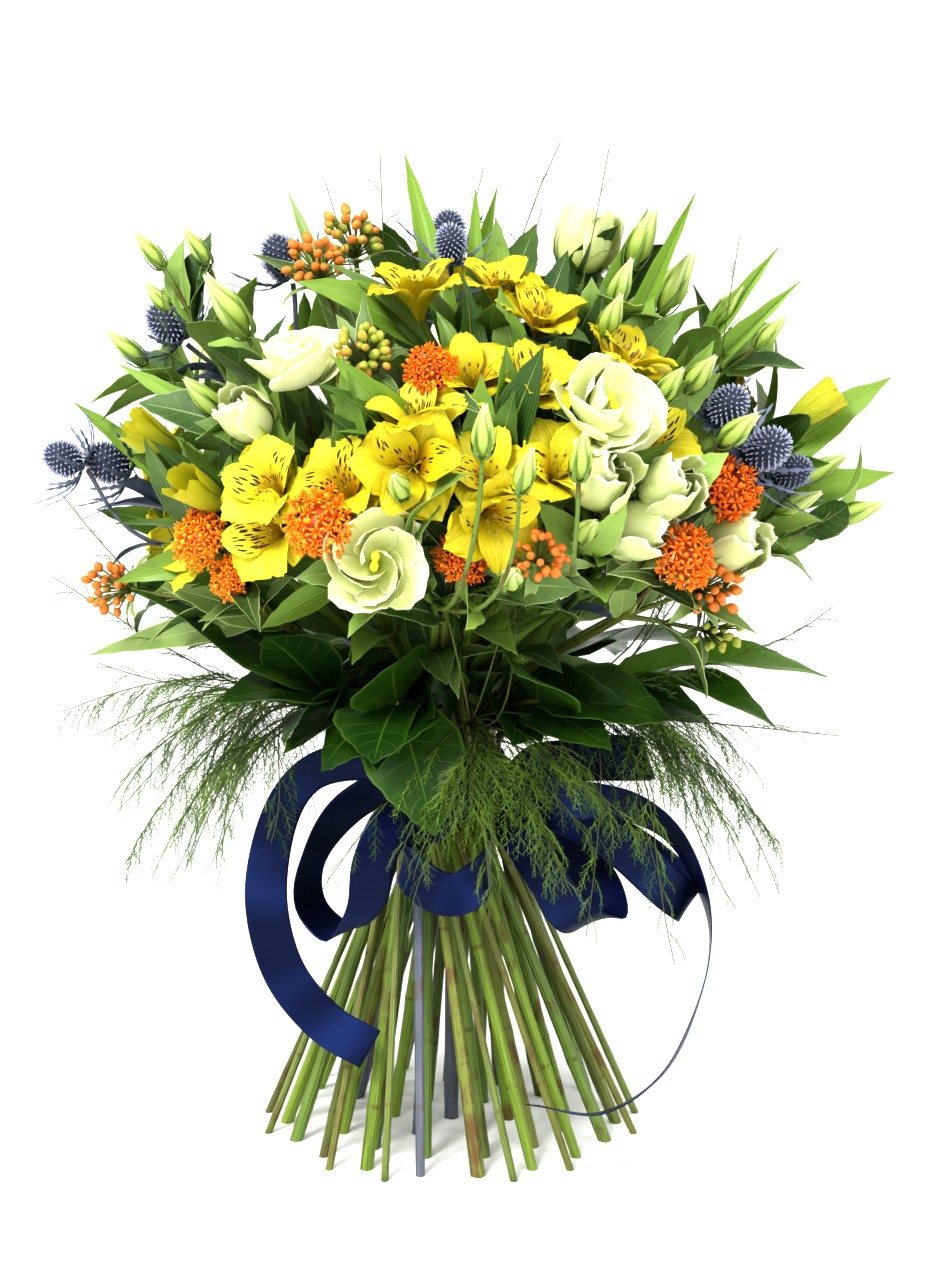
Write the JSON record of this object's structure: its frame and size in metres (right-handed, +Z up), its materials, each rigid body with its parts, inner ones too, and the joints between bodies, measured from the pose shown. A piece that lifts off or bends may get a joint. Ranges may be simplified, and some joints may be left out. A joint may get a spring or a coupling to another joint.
{
  "type": "mixed flower bouquet",
  "caption": "Hand-tied dome of lily-like, cupped, clustered and spiny blooms with leafy collar and bow, standing on its splayed cut stems.",
  "frame": {"origin": "centre of the middle stem's cut end, on the surface the bouquet stands on", "axes": "+Z up along the bunch, +X to the right and -Y towards the viewer who faces the bow"},
  "size_m": [0.5064, 0.4446, 0.594],
  "materials": {
    "alstroemeria_plant": "matt yellow petals with brown dashes, satin green leaves and stems",
    "lisianthus_plant": "matt cream petals, pale green buds, grey-green leaves and stems",
    "milkweed_plant": "matt orange florets and buds, grey-green leaves and stems",
    "sea_holly_plant": "matt steel-blue spiny heads on blue-grey stems",
    "salal_twig": "glossy dark green leaves on thin brown-green twigs",
    "asparagus_fern": "matt olive-green needle sprays",
    "satin_ribbon": "navy satin"
  },
  "bodies": {
    "root": {"alstroemeria_back_left": "alstroemeria_plant", "alstroemeria_back_right": "alstroemeria_plant", "alstroemeria_far_left": "alstroemeria_plant", "alstroemeria_front": "alstroemeria_plant", "alstroemeria_front_left": "alstroemeria_plant", "alstroemeria_high_back": "alstroemeria_plant", "alstroemeria_high_right": "alstroemeria_plant", "alstroemeria_left": "alstroemeria_plant", "alstroemeria_middle": "alstroemeria_plant", "alstroemeria_right": "alstroemeria_plant", "alstroemeria_top": "alstroemeria_plant", "alstroemeria_top_back": "alstroemeria_plant", "alstroemeria_upper": "alstroemeria_plant", "fern_back": "asparagus_fern", "fern_back_right": "asparagus_fern", "fern_far_left": "asparagus_fern", "fern_front": "asparagus_fern", "fern_left": "asparagus_fern", "fern_right": "asparagus_fern", "lisianthus_back_left": "lisianthus_plant", "lisianthus_back_right": "lisianthus_plant", "lisianthus_front": "lisianthus_plant", "lisianthus_front_right": "lisianthus_plant", "lisianthus_high_back": "lisianthus_plant", "lisianthus_high_far_left": "lisianthus_plant", "lisianthus_high_left": "lisianthus_plant", "lisianthus_high_right": "lisianthus_plant", "lisianthus_left": "lisianthus_plant", "lisianthus_middle_right": "lisianthus_plant", "lisianthus_right": "lisianthus_plant", "lisianthus_top_back": "lisianthus_plant", "lisianthus_top_right": "lisianthus_plant", "milkweed_back": "milkweed_plant", "milkweed_back_left": "milkweed_plant", "milkweed_back_right": "milkweed_plant", "milkweed_front": "milkweed_plant", "milkweed_high": "milkweed_plant", "milkweed_left": "milkweed_plant", "milkweed_right": "milkweed_plant", "milkweed_top_left": "milkweed_plant", "ribbon_band": "satin_ribbon", "ribbon_loop_centre": "satin_ribbon", "ribbon_loop_far_right": "satin_ribbon", "ribbon_loop_left": "satin_ribbon", "ribbon_loop_right": "satin_ribbon", "ribbon_loop_upper": "satin_ribbon", "ribbon_tail_left": "satin_ribbon", "ribbon_tail_right": "satin_ribbon", "salal_back": "salal_twig", "salal_back_left": "salal_twig", "salal_back_right": "salal_twig", "salal_far_right": "salal_twig", "salal_front": "salal_twig", "salal_left": "salal_twig", "salal_right": "salal_twig", "sea_holly_back": "sea_holly_plant", "sea_holly_high_left": "sea_holly_plant", "sea_holly_left": "sea_holly_plant", "sea_holly_right": "sea_holly_plant", "sea_holly_top": "sea_holly_plant"}
  },
  "joints": []
}
